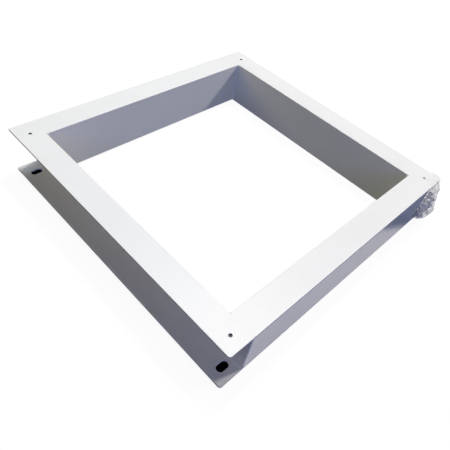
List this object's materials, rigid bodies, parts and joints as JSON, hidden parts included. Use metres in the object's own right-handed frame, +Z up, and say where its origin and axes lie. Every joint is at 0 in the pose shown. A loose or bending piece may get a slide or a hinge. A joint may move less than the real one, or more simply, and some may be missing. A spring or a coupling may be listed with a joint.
{
  "type": "security gate base frame",
  "caption": "Low welded base frame of steel channels around a large opening, slotted for floor bolts, with a clear bag of fixings taped to one corner.",
  "frame": {"origin": "on the floor plane, at the middle of the whole object's footprint, with the bag and the tape; the steel frame's own centre is 4.65 mm to the left of it and 12 mm behind it, at x -0.00465, y 0.012", "axes": "+X from the left rail to the right rail, +Y from the front rail, on the bag's side, to the rear rail, +Z up"},
  "size_m": [0.6292, 0.624, 0.1021],
  "materials": {
    "white_powder_coat": "white powder coat, fine orange peel, semi-gloss",
    "painted_weld": "weld dressed and coated with the frame, semi-gloss",
    "clear_film": "thin clear film, crumpled, glossy",
    "clear_tape": "clear packing tape, glossy",
    "zinc_plate": "bright zinc plate, satin"
  },
  "bodies": {
    "root": {"left_rail": "white_powder_coat", "right_rail": "white_powder_coat", "front_rail": "white_powder_coat", "rear_rail": "white_powder_coat", "corner_weld_front_left": "painted_weld", "corner_weld_front_right": "painted_weld", "corner_weld_rear_left": "painted_weld", "corner_weld_rear_right": "painted_weld", "top_seam_weld_front_left": "painted_weld", "top_seam_weld_front_right": "painted_weld", "top_seam_weld_rear_left": "painted_weld", "top_seam_weld_rear_right": "painted_weld", "bottom_seam_weld_front_left": "painted_weld", "bottom_seam_weld_front_right": "painted_weld", "bottom_seam_weld_rear_left": "painted_weld", "bottom_seam_weld_rear_right": "painted_weld", "fixings_bag": "clear_film", "bag_tape": "clear_tape", "floor_bolt_1": "zinc_plate", "floor_bolt_2": "zinc_plate", "floor_bolt_3": "zinc_plate", "floor_bolt_4": "zinc_plate", "floor_washer_1": "zinc_plate", "floor_washer_2": "zinc_plate", "floor_washer_3": "zinc_plate", "floor_washer_4": "zinc_plate", "top_screw_1": "zinc_plate", "top_screw_2": "zinc_plate", "top_screw_3": "zinc_plate", "top_screw_4": "zinc_plate"}
  },
  "joints": []
}
